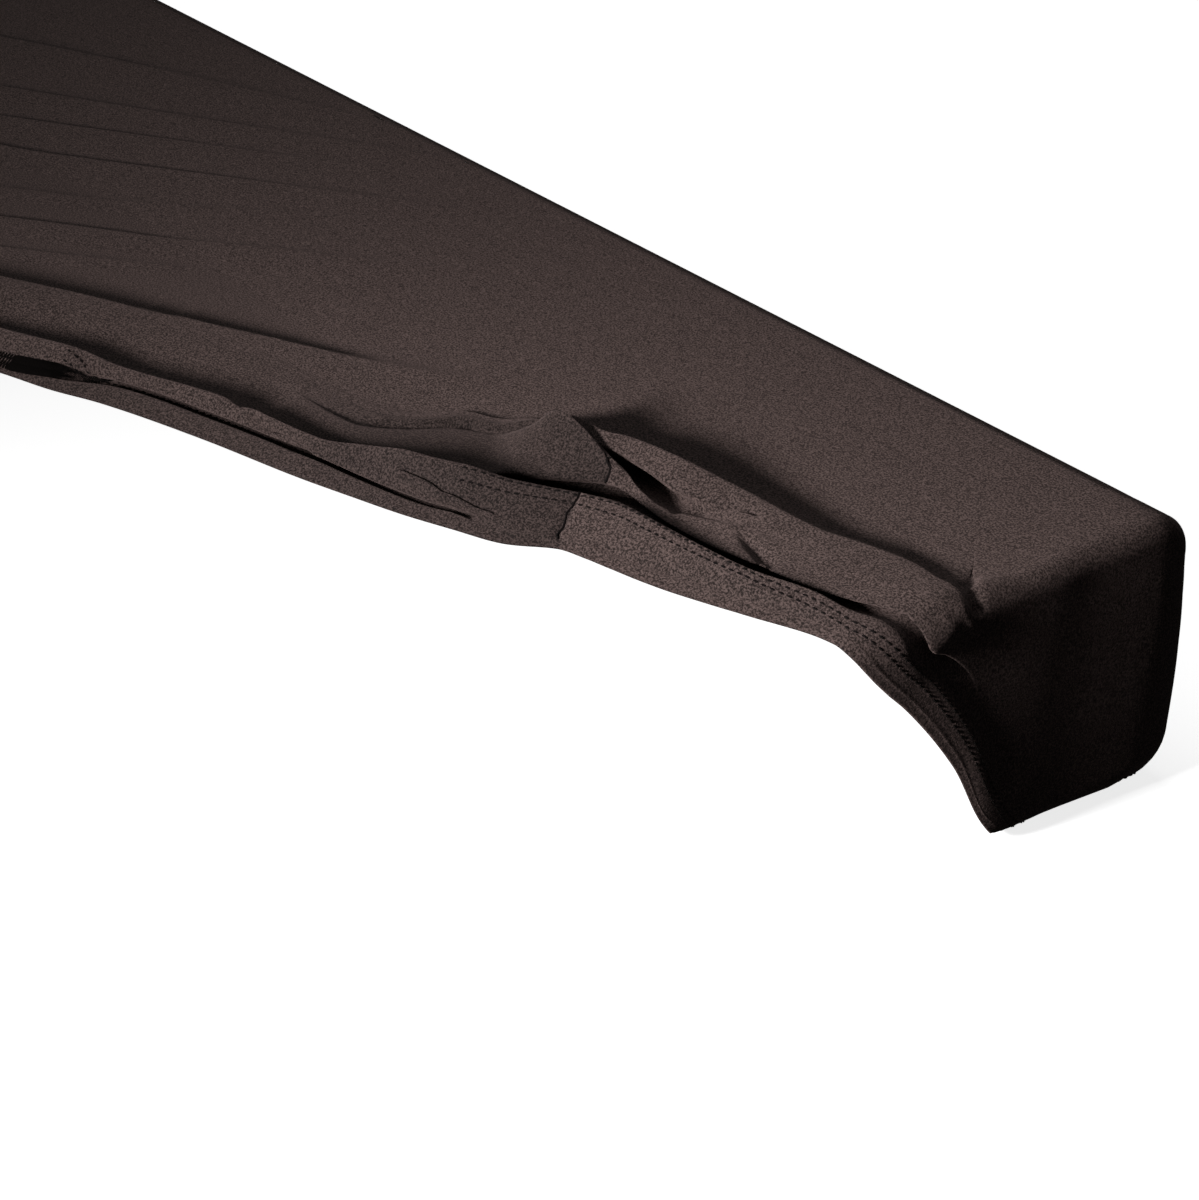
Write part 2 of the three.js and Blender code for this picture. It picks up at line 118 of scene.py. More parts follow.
# Sections through the fold bundle, from the front round the pulled-back corner to the right end. hem and top
# are a section's ends on the flat pattern; each fold has its distance in from the hem, its rise and, where
# it leans along the hem, its shift to the side.
fold_columns = (
    "hem_x hem_y top_x top_y lip_in lip_up gap_in gap_up chin_in chin_up band_in band_up "
    "valley_in valley_up deep_in deep_up under_in under_up face_in face_up mid_in mid_up "
    "root_in root_up belly_in belly_up crest_in crest_up band_side under_side mid_side crest_side"
).split()
fold_rows = np.array(
    [
        [122, -216, 95, -150, 4, 2, 9, 1.5, 9, 3.5, 15, 8, 24, 2, 32, 0.6]
        + [40, 0.4, 46, 0.4, 52, 0.4, 56, 0.4, 60, 0.3, 65, 0.2, 0, 0, 0, 0],
        [187, -190, 151, -118, 2.5, 2, 7, 1.6, 9, 6, 18, 10.8, 29, 2, 38, 0]
        + [46, 0, 53, 0.4, 59, 0.6, 64, 0.6, 68, 0.5, 73, 0.3, 0, 0, 0, 0],
        [209, -181.5, 170, -109, 4, 3.8, 9, 1.8, 10.5, 7.2, 18, 12.3, 28, 2, 38, 0.1]
        + [46, 0.1, 53, 0.5, 59, 0.7, 64, 0.7, 68.5, 0.5, 73.5, 0.3, 0, 0, 0, 0],
        [231, -170, 191, -100, 9.5, 4.2, 24, 1.2, 12, 6, 15, 10.4, 27, 2, 37, 0.2]
        + [46, 0.2, 53, 0.6, 59, 0.8, 64, 0.8, 69, 0.6, 74, 0.4, 0, 0, 0, 0],
        [279, -152, 235, -84, 9.5, 4.4, 25, 1.2, 12, 6.2, 16.5, 11.6, 29, 3, 38, 0.8]
        + [47, 0.4, 54, 0.8, 60, 1, 65, 1, 69, 0.8, 74, 0.5, 0, 0, 0, 0],
        [328, -137, 275, -67, 9, 5, 22, 1.2, 12.3, 5.3, 16.5, 10.4, 23, 1.5, 28, 0.5]
        + [33, 2.2, 41, 3.2, 50, 3, 60, 1.2, 66, 1.2, 72, 0.8, 0, 0, 0, 0],
        [350, -129, 289, -57, 7.5, 4.2, 20, 1.1, 10.8, 4.6, 17, 14, 24, 1.5, 33, 0.5]
        + [34, 2.6, 42, 3, 62, 2, 68, 0.8, 72, 1.8, 79, 1.3, 0, 0, 0, 0],
        [371, -121, 302, -47, 6.5, 3.4, 19, 1, 9.8, 4, 16.5, 18, 24, 1.5, 42, 0.6]
        + [35, 3.6, 43, 3.4, 78, 1.6, 83, 1, 86.5, 2.6, 94, 1.8, 0, 0, 0, 0],
        [390, -112, 311, -36, 6, 2.8, 16, 1, 9, 3.6, 19, 17.8, 26, 1.5, 50, 0.8]
        + [40, 4.2, 48, 3.6, 80, 2.8, 84, 2, 87.5, 3.6, 95, 2.4, 0, 0, 0, 0],
        [408, -103, 320, -24, 4, 2, 7, 3, 10, 4.4, 24.5, 14.6, 32, 1.5, 54, 0.8]
        + [43, 8, 55, 9.5, 77, 12.5, 88, 6.5, 92, 7.5, 99, 4.6, 0, 0, 0, 0],
        [423, -87, 327, -15, 4, 2, 7, 3.2, 10, 4.8, 24, 12.4, 31, 1.5, 55, 0.8]
        + [43, 7, 47, 13, 72.5, 21.5, 78, 11, 81, 12, 86, 13, 3, 13, -4, 0],
        [432, -84, 338, -10, 4, 2, 7, 3.2, 10, 4.8, 27, 12.5, 34, 1.5, 59, 0.8]
        + [45, 7.5, 47, 10, 53, 12.5, 82, 0.5, 65, 14, 71, 17.5, 1, 9, 9, 1],
        [442, -81, 349, -5, 4, 1.5, 9, 2.5, 10, 4.5, 28, 12.6, 35, 1.5, 61, 0.8]
        + [46.5, 7, 50, 8.5, 56, 10.5, 82, 0.5, 64, 13, 72, 17, 2, 4, 3, 2],
        [453, -78, 361, -1, 4, 1.5, 9, 2.5, 10, 4.5, 27, 12.3, 34, 1.5, 59, 0.8]
        + [44, 7, 48, 7.5, 54, 8.5, 80, 0.5, 60.5, 12, 73, 16.5, 1, 0, -2, 1],
        [465, -74, 373, 3, 4, 1.5, 9, 2.5, 10, 4.5, 24.5, 11.8, 32, 1.5, 56, 0.8]
        + [39, 7, 45, 6.5, 51, 6.5, 72, 1.5, 57, 10, 72, 16, 0, -2, -4, 0],
        [479, -68, 388, 7, 4, 1.5, 9, 2.5, 9, 4.5, 18.5, 11.5, 26, 1.5, 50, 0.8]
        + [32, 7, 41, 6.5, 50, 6.8, 57, 5.5, 59, 9.6, 72, 14, 0, -2, -4, -2],
        [493, -62, 403, 11, 3, 1.5, 7, 2.5, 8, 4.5, 14, 11, 21, 1.5, 42, 0.8]
        + [26, 7, 36, 7, 46, 8, 52, 7.6, 56, 9.2, 69, 11.2, 0, 0, 0, 0],
        [518, -51.5, 441, 18, 3, 1.5, 6, 2.5, 7, 4, 15, 8.3, 18, 1.5, 35, 0.8]
        + [22, 5.4, 30, 6, 37, 6.8, 42, 7.4, 48, 7.8, 59, 8.2, 0, 0, 0, 0],
        [529, -49, 464, 21, 3, 1.6, 5.5, 2.2, 7, 3, 15.5, 6, 20.5, 1.5, 32, 0.8]
        + [24, 4.8, 31, 5.6, 37, 6.3, 42, 6.8, 48, 7.1, 59, 7.3, 0, 0, 0, 0],
        [540.5, -40.5, 483, 24, 3, 1.4, 5, 1.8, 7, 2.4, 15, 4, 20, 1.5, 30, 0.8]
        + [23, 4, 29, 5, 33, 5.6, 38, 6, 44, 6.2, 54, 6.2, 0, 0, 0, 0],
        [551, -31, 506, 34, 3, 1.2, 5, 1.6, 7, 2, 13, 3, 17, 1.4, 24, 0.8]
        + [20, 3.4, 24, 4.4, 28, 4.8, 31, 5, 36, 4.8, 43, 4, 0, 0, 0, 0],
        [559.5, -22.5, 507, 30, 3, 1.1, 5, 1.4, 7, 1.7, 13, 2.4, 19, 1.2, 26, 0.8]
        + [22, 2.4, 27, 3, 31, 3.3, 35, 3.5, 39, 3.6, 47, 3, 0, 0, 0, 0],
        [592, 4, 514, 38, 3, 1.2, 5, 1.5, 7, 1.8, 13, 2.4, 19, 1.5, 24, 1]
        + [28, 1, 33, 1.2, 39, 1.3, 45, 1.4, 52, 1.5, 66, 1.5, 0, 0, 0, 0],
        [629, 28, 516, 52, 3, 1.2, 5, 1.4, 7, 1.6, 13, 2, 20, 1.4, 28, 1]
        + [36, 1, 46, 1, 56, 1, 66, 1, 80, 1, 102, 1, 0, 0, 0, 0],
    ]
)
trough_at = 0.35  # the trough's place between the crest and the rim
trough_rise = 0.12  # its height, as a share of the crest's
brow_at, brow_rise = 0.5, 0.4  # between crest and belly: its place and its height
notch_at, notch_rise = 0.3, 0.8  # between mid and root
slot_at, slot_rise = 0.35, 0.9  # between lip and gap
hem_rise = 0.6


def between(first, second, share):
    """The value that lies a share of the way from the first to the second."""
    return (1 - share) * first + share * second


def fold_stops(row):
    """Stops of a fold section on the flat pattern, from the rim of the top to the hem, with their rises."""
    f = dict(zip(fold_columns, row))
    run = np.hypot(f["top_x"] - f["hem_x"], f["top_y"] - f["hem_y"])
    along_x = (f["top_x"] - f["hem_x"]) / run
    along_y = (f["top_y"] - f["hem_y"]) / run
    trough_in = between(f["crest_in"], run, trough_at)
    brow_in = between(f["crest_in"], f["belly_in"], brow_at)
    brow_up = between(f["crest_up"], f["belly_up"], brow_rise)
    notch_in = between(f["mid_in"], f["root_in"], notch_at)
    notch_up = between(f["mid_up"], f["root_up"], notch_rise)
    slot_in = between(f["lip_in"], f["gap_in"], slot_at)
    slot_up = between(f["lip_up"], f["gap_up"], slot_rise)
    inward, rise, aside = np.array(
        [
            (run, 0, 0),
            (trough_in, trough_rise * f["crest_up"], f["crest_side"] / 2),
            (f["crest_in"], f["crest_up"], f["crest_side"]),
            (brow_in, brow_up, f["crest_side"]),
            (f["belly_in"], f["belly_up"], f["crest_side"]),
            (f["root_in"], f["root_up"], f["crest_side"]),
            (notch_in, notch_up, f["mid_side"]),
            (f["mid_in"], f["mid_up"], f["mid_side"]),
            (f["face_in"], f["face_up"], f["under_side"]),
            (f["under_in"], f["under_up"], f["under_side"]),
            (f["deep_in"], f["deep_up"], f["under_side"]),
            (f["valley_in"], f["valley_up"], f["under_side"] / 2),
            (f["band_in"], f["band_up"], f["band_side"]),
            (f["chin_in"], f["chin_up"], f["band_side"] / 2),
            (f["gap_in"], f["gap_up"], 0),
            (slot_in, slot_up, 0),
            (f["lip_in"], f["lip_up"], 0),
            (0, hem_rise, 0),
        ]
    ).T
    x = f["hem_x"] + along_x * inward + along_y * aside
    y = f["hem_y"] + along_y * inward - along_x * aside
    return np.stack([x, y, rise], -1)


stop_count = 18


def wall_stops(x, y, out_x, out_y, reach=None, under=tuck - foot):
    """Stops of a plain wall's section on the flat pattern. With a reach they are even steps to it; without
    one they mark the edge, the wall, its foot and the tuck."""
    radius = back_edge if out_y == 1 else edge
    flat = {(0, 1): back - back_edge - y, (0, -1): y - front - edge}.get((out_x, out_y), inset - edge)
    if out_x * out_y != 0:
        flat = np.hypot(inset - edge, inset - edge)
    low = foot + (back_foot - foot) * max(out_y, 0)
    edge_end = flat + radius * np.pi / 2
    wall_end = edge_end + top_height(y) - bottom - radius - low
    foot_end = wall_end + low * np.pi / 2
    before = [0, flat, (flat + edge_end) / 2]
    after = [(wall_end + foot_end) / 2, foot_end, foot_end + under / 2, foot_end + under]
    on_wall = np.linspace(edge_end, wall_end, stop_count - len(before) - len(after))
    stops = np.concatenate([before, on_wall, after])
    if reach:
        stops = np.linspace(0, reach, stop_count)
    return np.stack([x + out_x * stops, y + out_y * stops, 0 * stops], -1)


# The ring of sections round the cover, from the left end of the back, each with the number of columns
# from it to the next. The front rim has coarse times as many columns as the back rim, and both end rims
# have deep.
coarse = 4
deep = 81
rim_left = inset - end
rim_right = end - inset
rim_front = front + inset
rim_back = back - inset
slant = np.sqrt(0.5)
corner_columns = 6
back_right_columns = 12
end_wall_y = 70
front_wall_x = -113
fold_counts = [12, 20, 18, 18, 36, 36, 20, 20, 18, 18, 18, 10, 10, 10, 12, 12, 14, 18, 7, 7, 12, 12, 22]
right_side = [
    (wall_stops(rim_right, rim_back, slant, slant, under=corner_tuck), corner_columns),
    (wall_stops(rim_right, rim_back - corner_run, 1, 0), 6),
    (wall_stops(rim_right, end_wall_y, 1, 0), 14),
]
end_columns = deep - sum(n for _, n in right_side)
folds = [(fold_stops(row), n) for row, n in zip(fold_rows[::-1], [end_columns, *fold_counts[::-1]])]
front_side = [
    (wall_stops(67, -171, 0, -1, reach=71), 12),
    (wall_stops(7, -203, 0, -1, reach=78), 12),
    (wall_stops(-53, -219, 0, -1, reach=108), 12),
    (wall_stops(front_wall_x, rim_front, 0, -1), 58),
    (wall_stops(rim_left + corner_run, rim_front, 0, -1), corner_columns),
]
left_side = [
    (wall_stops(rim_left, rim_front, -slant, -slant, under=corner_tuck), corner_columns),
    (wall_stops(rim_left, rim_front + corner_run, -1, 0), deep - 2 * corner_columns),
    (wall_stops(rim_left, rim_back - corner_run, -1, 0), corner_columns),
]
across = sum(n for _, n in folds[1:] + front_side)
back_columns = across // coarse - corner_columns - back_right_columns
back_side = [
    (wall_stops(rim_left, rim_back, -slant, slant, under=corner_tuck), corner_columns),
    (wall_stops(rim_left + corner_run, rim_back, 0, 1), back_columns),
    (wall_stops(rim_right - corner_run, rim_back, 0, 1), back_right_columns),
]
ring = back_side + right_side + folds + front_side + left_side
counts = np.array([n for _, n in ring])
span_steps = [2, 4, 5, 4, 4, 4, 3, 5, 4, 4, 4, 5, 7, 4, 3, 3, 4]


def section_rows(stops):
    """A centripetal cubic through each section's stops, with a fixed number of even steps on every span."""
    reach = np.maximum(np.sqrt(np.linalg.norm(np.diff(stops, axis=1), axis=2, keepdims=True)), 1e-3)
    rate = np.diff(stops, axis=1) / reach
    wide = (stops[:, 2:] - stops[:, :-2]) / (reach[:, 1:] + reach[:, :-1])
    tangent = np.concatenate([rate[:, :1], rate[:, :-1] - wide + rate[:, 1:], rate[:, -1:]], 1)
    span = np.append(np.repeat(np.arange(len(span_steps)), span_steps), len(span_steps) - 1)
    t = np.append(np.concatenate([np.arange(n) / n for n in span_steps]), 1)[None, :, None]
    pull = reach[:, span]
    return (
        (1 + 2 * t) * (1 - t) ** 2 * stops[:, span]
        + t**2 * (3 - 2 * t) * stops[:, span + 1]
        + t * (1 - t) ** 2 * pull * tangent[:, span]
        - t**2 * (1 - t) * pull * tangent[:, span + 1]
    )


def ring_columns(sections):
    """Columns round the cover: each row is a cubic through the sections that never overshoots them."""
    gap = np.linalg.norm(np.roll(sections, -1, 0) - sections, axis=2).mean(1)[:, None, None]
    after = (np.roll(sections, -1, 0) - sections) / gap
    before = np.roll(after, 1, 0)
    gap_before = np.roll(gap, 1, 0)
    weight_before = 2 * gap + gap_before
    weight_after = gap + 2 * gap_before
    same = before * after > 0
    safe_before = np.where(same, before, 1)
    safe_after = np.where(same, after, 1)
    mean = (weight_before + weight_after) / (weight_before / safe_before + weight_after / safe_after)
    tangent = np.where(same, mean, 0)
    at = np.repeat(np.arange(len(counts)), counts)
    t = np.concatenate([np.arange(n) / n for n in counts])[:, None, None]
    after_at = (at + 1) % len(counts)
    return (
        (1 + 2 * t) * (1 - t) ** 2 * sections[at]
        + t**2 * (3 - 2 * t) * sections[after_at]
        + gap[at] * (t * (1 - t) ** 2 * tangent[at] - t**2 * (1 - t) * tangent[after_at])
    )


skirt = ring_columns(section_rows(np.array([stops for stops, _ in ring])))
column_count, row_count = skirt.shape[:2]
at_back_right = across // coarse
at_top_right = at_back_right + deep
at_front_left = at_top_right + across

# Long creases drawn across the top by the pull, from front to back: three points, height, and the widths of
# the long flank in front and of the sharp one behind. Each swells over its first part and dies out after it.
crease_columns = "x0 y0 x1 y1 x2 y2 height near far".split()
crease_rows = [
    [22, -209.5, 154.5, -121.5, 293, -27.5, 9, 34, 5],
    [10, -171, 74, -110, 125, -55, 1.3, 12, 2.2],
    [-70, -206, 58, -77, 190, 26, 2.0, 16, 2.4],
    [-100, -166, 44, -34, 130, 44, 1.0, 14, 2.2],
    [-180, -136, 12, -11, 140, 76, 2.2, 16, 2.4],
    [-230, -117, -44, -3, 60, 65, 2.2, 16, 2.4],
    [-290, -98, -59, 26, 80, 106, 2.0, 16, 2.4],
    [-380, -65, -133, 48, 20, 102, 2.2, 20, 3],
]
creases = [dict(zip(crease_columns, row)) for row in crease_rows]
swell_part = 0.25
dying_power = 0.8


def crease_line(c, x):
    """Place of a crease at each x: a parabola through its three points, straight beyond them."""
    first = (c["y1"] - c["y0"]) / (c["x1"] - c["x0"])
    second = ((c["y2"] - c["y1"]) / (c["x2"] - c["x1"]) - first) / (c["x2"] - c["x0"])
    near_x = np.clip(x, c["x0"], c["x2"])
    return c["y0"] + first * (x - c["x0"]) + second * (near_x - c["x0"]) * (near_x - c["x1"])


def crease_rise(a, b):
    """Sum of the ridges: a bell across each crease, sharper behind, that swells and then dies out."""
    total = np.zeros_like(a)
    for c in creases:
        way = np.hypot(1, (c["y2"] - c["y0"]) / (c["x2"] - c["x0"]))
        off = (b - crease_line(c, a)) / way
        along = np.clip((a - c["x0"]) / (c["x2"] - c["x0"]), 0, 1)
        swell = np.minimum(1, along / swell_part) ** 2 * np.cos(0.5 * np.pi * along) ** dying_power
        total += c["height"] * swell * np.exp(-((off / np.where(off > 0, c["far"], c["near"])) ** 2))
    return total


# The top's columns join the front rim to the back rim, and its rows gather along the creases, except near
# the ends, where they are eased into even rows.
front_rim = at_front_left - np.arange(across + 1)
left_rim = (at_front_left + np.arange(deep + 1)) % column_count
right_rim = at_top_right - np.arange(deep + 1)
back_rim = np.arange(at_back_right + 1)
rim_front_points = skirt[front_rim, 0]
fine = np.arange(across + 1) / coarse
rim_back_points = np.stack([np.interp(fine, back_rim, skirt[back_rim, 0, k]) for k in range(3)], 1)
rim_way = rim_back_points - rim_front_points
search_steps = 25
least_gap = 0.035
left_ease = 20
right_ease = 3


def rim_share(rim):
    """Places along an end rim, from 0 at the front to 1 at the back."""
    y = skirt[rim, 0, 1]
    return (y - y[0]) / (y[-1] - y[0])


def crease_share(c):
    """Where each column crosses a crease, as a share of the way to the back, by repeated half steps."""
    crossing = np.full(across + 1, 0.5)
    for _ in range(search_steps):
        y = crease_line(c, rim_front_points[:, 0] + rim_way[:, 0] * crossing)
        crossing = 0.5 * crossing + 0.5 * (y - rim_front_points[:, 1]) / rim_way[:, 1]
        crossing = np.clip(crossing, -0.5, 1.5)
    return crossing


order = np.arange(1, len(creases) + 1)
crossings = np.stack([crease_share(c) for c in creases], 1)
crossings = np.maximum(crossings, least_gap) - least_gap * order
crossings = np.maximum.accumulate(crossings, 1) + least_gap * order
crossings = np.minimum(crossings, 1 - least_gap * order[::-1])
anchors = np.concatenate([np.zeros((across + 1, 1)), crossings, np.ones((across + 1, 1))], 1)
rows_between = deep // (len(creases) + 1)
bunch = (1 - np.cos(np.pi * np.arange(rows_between) / rows_between)) / 2
gathered = anchors[:, :-1, None] + np.diff(anchors, axis=1)[..., None] * bunch
gathered = np.concatenate([gathered.reshape(across + 1, -1), np.ones((across + 1, 1))], 1)
along_top = (np.arange(across + 1) / across)[:, None]
ease = np.clip(left_ease * along_top, 0, 1) * np.clip(right_ease * (1 - along_top), 0, 1)
even = between(rim_share(left_rim), rim_share(right_rim), along_top)
depth_share = between(even, gathered, ease)
top = rim_front_points[:, None] + rim_way[:, None] * depth_share[..., None]
top[0] = skirt[left_rim, 0]
top[-1] = skirt[right_rim, 0]

# The creases run on over the skirt's first rows, and fade out between two stops of its sections.
last_whole_stop = 8
first_plain_stop = 11
whole_to = sum(span_steps[:last_whole_stop])
none_from = sum(span_steps[:first_plain_stop])
fade = np.clip((none_from - np.arange(row_count)) / (none_from - whole_to), 0, 1)
skirt[..., 2] += crease_rise(skirt[..., 0], skirt[..., 1]) * fade
top[..., 2] += crease_rise(top[..., 0], top[..., 1])
skirt_points = drape(skirt)
top_points = drape(top)


def ring_normals(points):
    """Unit normals of a grid that closes round the cover, from its neighbours along both ways."""
    down_rows = np.gradient(points, axis=1)
    round_rows = np.roll(points, -1, 0) - np.roll(points, 1, 0)
    normal = np.cross(round_rows, down_rows)
    return normal / np.maximum(np.linalg.norm(normal, axis=2, keepdims=True), 1e-9)


# Small creases and tucks: the section and stop numbers of the places that each runs through, its depth,
# where below zero is a ridge, and its width. The upright rows are a gutter along the hem's band and the
# low ridge before it, and move straight down or up. The corner's seam runs in two stretches.
detail_rows = [
    [[(3.95, 11.2), (4.18, 11.92), (4.28, 12.2)], 1.5, 2.4],
    [[(4.28, 12.16), (4.36, 12.46), (4.56, 12.74), (4.83, 12.97), (4.96, 13.2)], 2.8, 1.7],
    [[(2.05, 12.1), (2.12, 12.3), (2.33, 12.54), (2.53, 12.74), (2.67, 13.1)], 3, 1.8],
    [[(2.75, 12.2), (3.2, 12.25), (3.7, 12.3)], 1.3, 1.3],
    [[(14.24, 7.6), (14.87, 5), (15.4, 4.25), (16, 3.55), (16.22, 3.43)], 2.2, 1.7],
    [[(15.43, 2.66), (15.57, 3.22), (15.7, 3.85)], 1.2, 1.5],
    [[(15.84, 7), (16.16, 8), (16.36, 8.75)], 2.4, 2.4],
    [[(19.25, 0.87), (19.5, 0.8), (20.67, 1), (21.16, 2.27)], 1.4, 1.8],
    [[(19.85, 1.03), (20.9, 2.63), (21.05, 3.82), (21.13, 4.53)], 2.6, 2.8],
    [[(19.88, 3.8), (20.68, 4.63), (21.28, 5.6)], -0.6, 2.4],
    [[(18.86, 0.67), (19.1, 1), (19.4, 1.6), (19.7, 1.9)], 1.8, 1.8],
    [[(4.99, 5.28), (5.68, 5.2), (6.54, 5.3), (7.1, 5.1), (7.6, 4.7)], 1.7, 1.8],
]
upright_rows = [
    [[(6.7, 12.48), (7.4, 12.55), (7.9, 12.66), (8.4, 12.78), (8.9, 12.9)], 3, 2.8],
    [[(6.4, 12.66), (7.4, 12.76), (7.9, 12.86), (8.4, 12.95), (8.9, 13)], -4.6, 2.6],
]
seam_lines = [
    [(9.88, 15.7), (9.87, 14.4), (9.86, 13.43), (9.89, 12.62), (10.05, 12.4), (10.19, 12.22), (10.25, 12)],
    [(10.1, 9), (10.15, 8.6), (10.3, 8.17), (10.55, 7.7), (10.8, 7.24)],
]
seam_depth = 0.9
seam_width = 1.3
steps_per_place = 24
taper_part = 0.4
ring_start = np.concatenate([[0], np.cumsum(counts)])
last_fold = len(back_side) + len(right_side) + len(folds) - 1
section_column = ring_start[last_fold - np.arange(len(folds))]
stop_row = np.concatenate([[0], np.cumsum(span_steps)])
skirt_normals = ring_normals(skirt_points)
step = np.linalg.norm(np.diff(skirt_points, axis=1), axis=2)
from_hem = np.concatenate([np.cumsum(step[:, ::-1], 1)[:, ::-1], np.zeros((column_count, 1))], 1)


def on_cloth(places, values):
    """Values of the skirt's grid at section and stop numbers, between the four nearest points."""
    section, stop = np.asarray(places, float).T
    column = np.interp(section, np.arange(len(section_column)), section_column)
    row = np.interp(stop, np.arange(len(stop_row)), stop_row)
    c = column.astype(int)
    r = np.minimum(row.astype(int), row_count - 2)
    s = (column - c)[:, None]
    t = (row - r)[:, None]
    upper = between(values[c, r], values[c + 1, r], s)
    lower = between(values[c, r + 1], values[c + 1, r + 1], s)
    return between(upper, lower, t)


def fine_line(places):
    """A line's places at even small steps, with how far on each is, counted in places."""
    knots = np.arange(len(places))
    on = np.linspace(0, len(places) - 1, steps_per_place * (len(places) - 1) + 1)
    return np.stack([np.interp(on, knots, [p[k] for p in places]) for k in range(2)], 1), on


def line_weight(places, width):
    """How much each point of the skirt is in a line: a bell of that width about it, fading at both ends."""
    fine_places, on = fine_line(places)
    line = on_cloth(fine_places, skirt_points)
    taper = np.minimum(1, np.minimum(on, on[-1] - on) / taper_part)
    reach = 3 * width
    near = np.all((skirt_points > line.min(0) - reach) & (skirt_points < line.max(0) + reach), 2)
    distance = np.linalg.norm(skirt_points[near][:, None] - line, axis=2)
    weight = np.zeros(skirt_points.shape[:2])
    weight[near] = taper[distance.argmin(1)] * np.exp(-((distance.min(1) / width) ** 2))
    return weight


sunk = sum(depth * line_weight(places, width) for places, depth, width in detail_rows)
dropped = sum(depth * line_weight(places, width) for places, depth, width in upright_rows)
seam = np.maximum(*[line_weight(places, seam_width) for places in seam_lines])
skirt_points = skirt_points - (sunk + seam_depth * seam)[..., None] * skirt_normals
skirt_points[..., 2] -= dropped
skirt_normals = ring_normals(skirt_points)

# The hem is turned in: its rows go on inside the band, a little off the outer layer.
hem_turn = 22.0
hem_gap = 1.3
turn_rows = 6
turn_start = 0.06  # the first row's share of the turn
turn_at = hem_turn * np.linspace(turn_start, 1, turn_rows)


def at_distance(values, distance):
    """Values of the skirt's columns at a distance from the hem, measured on the cloth, between two rows."""
    distance = np.broadcast_to(distance, column_count)
    row = np.clip((from_hem > distance[:, None]).sum(1) - 1, 0, row_count - 2)
    column = np.arange(column_count)
    upper = from_hem[column, row]
    lower = from_hem[column, row + 1]
    part = ((upper - distance) / np.maximum(upper - lower, 1e-6))[:, None]
    return between(values[column, row], values[column, row + 1], part)


inner_rows = [at_distance(skirt_points, d) - hem_gap * at_distance(skirt_normals, d) for d in turn_at]
hem_inner = np.stack(inner_rows, 1)

# One mesh: skirt rows, the turned hem's rows, the inside of the top, and a coarser last part at the back.
column_points = np.concatenate([skirt_points, hem_inner], 1)
rows_in_all = row_count + turn_rows
coarse_rows = 4
coarse_from = deep - coarse_rows
fine_top = top_points[1:-1, 1 : coarse_from + 1]
coarse_top = top_points[coarse:-1:coarse, coarse_from + 1 : -1]
parts = [column_points, fine_top, coarse_top]
vertices = np.concatenate([part.reshape(-1, 3) for part in parts])
numbers = np.arange(len(vertices))
first_fine = column_count * rows_in_all
first_coarse = first_fine + fine_top.shape[0] * fine_top.shape[1]
here = np.arange(column_count)[:, None] * rows_in_all + np.arange(rows_in_all - 1)
there = np.roll(here, -1, 0)
skirt_faces = np.stack([there, there + 1, here + 1, here], -1).reshape(-1, 4)
rim_number = np.arange(column_count) * rows_in_all
fine_index = np.empty((across + 1, coarse_from + 1), int)
fine_index[1:-1, 1:] = numbers[first_fine:first_coarse].reshape(fine_top.shape[:2])
fine_index[:, 0] = rim_number[front_rim]
fine_index[0] = rim_number[left_rim[: coarse_from + 1]]
fine_index[-1] = rim_number[right_rim[: coarse_from + 1]]
coarse_index = np.empty((at_back_right + 1, coarse_rows), int)
coarse_index[1:-1, :-1] = numbers[first_coarse:].reshape(coarse_top.shape[:2])
coarse_index[0] = rim_number[left_rim[coarse_from + 1 :]]
coarse_index[-1] = rim_number[right_rim[coarse_from + 1 :]]
coarse_index[:, -1] = rim_number[back_rim]


def grid_faces(index):
    """Quads between neighbours of a grid of vertex numbers."""
    return np.stack([index[:-1, :-1], index[1:, :-1], index[1:, 1:], index[:-1, 1:]], -1).reshape(-1, 4)


joint = fine_index[:, -1]
joint_near = [joint[k : k + across : coarse] for k in range(coarse)]
joint_far = [joint[coarse::coarse], coarse_index[1:, 0], coarse_index[:-1, 0]]
joint_faces = np.stack(joint_near + joint_far, -1)
faces = [
    *skirt_faces.tolist(),
    *grid_faces(fine_index).tolist(),
    *joint_faces.tolist(),
    *grid_faces(coarse_index).tolist(),
]
cover_mesh = bpy.data.meshes.new("cover_cloth")
cover_mesh.from_pydata((vertices * mm).tolist(), [], faces)
cover_mesh.polygons.foreach_set("use_smooth", np.ones(len(faces), bool))
cover_mesh.update()

# Left of the corner's seam lies the front's panel, whose colour is darkened as painted shade, standing in
# for the light that falls off across it. The seam's line is the panel's edge. The painted shade is weaker at
# the far left, except on the hem's lip.
panel_edge_stops = [7.2, 8.2, 9, 12, 12.4, 13.4, 15.7]
panel_edge_sections = [10.8, 10.3, 10.1, 10.25, 10.05, 9.86, 9.94]
panel_sharpness = 12
shade_sections = [4.4, 5.4]
shade_shares = [0.4, 1]
shade_first_stop = 2
shade_blend = 1.5
lip_stop = 14.6
column_section = np.interp(np.arange(column_count), section_column[::-1], np.arange(len(folds))[::-1])
row_stop = np.interp(np.arange(row_count), stop_row, np.arange(len(stop_row)))
panel_edge = np.interp(row_stop, panel_edge_stops, panel_edge_sections)
in_panel = np.clip(panel_sharpness * (panel_edge - column_section[:, None]) + 0.5, 0, 1)
in_panel[at_front_left:] = 0
by_section = np.interp(column_section, shade_sections, shade_shares)[:, None]
on_lip = np.clip(row_stop - lip_stop, 0, 1)
off_top = np.clip((row_stop - shade_first_stop) / shade_blend, 0, 1)
# Painted shade: how strongly each point's colour is darkened, from 0 to 1.
panel_shade = in_panel * off_top * np.maximum(by_section, on_lip)
panel_shade = np.concatenate([panel_shade, np.repeat(panel_shade[:, -1:], turn_rows, 1)], 1).ravel()
panel_painted_shade = cover_mesh.attributes.new("panel_painted_shade", "FLOAT", "POINT")
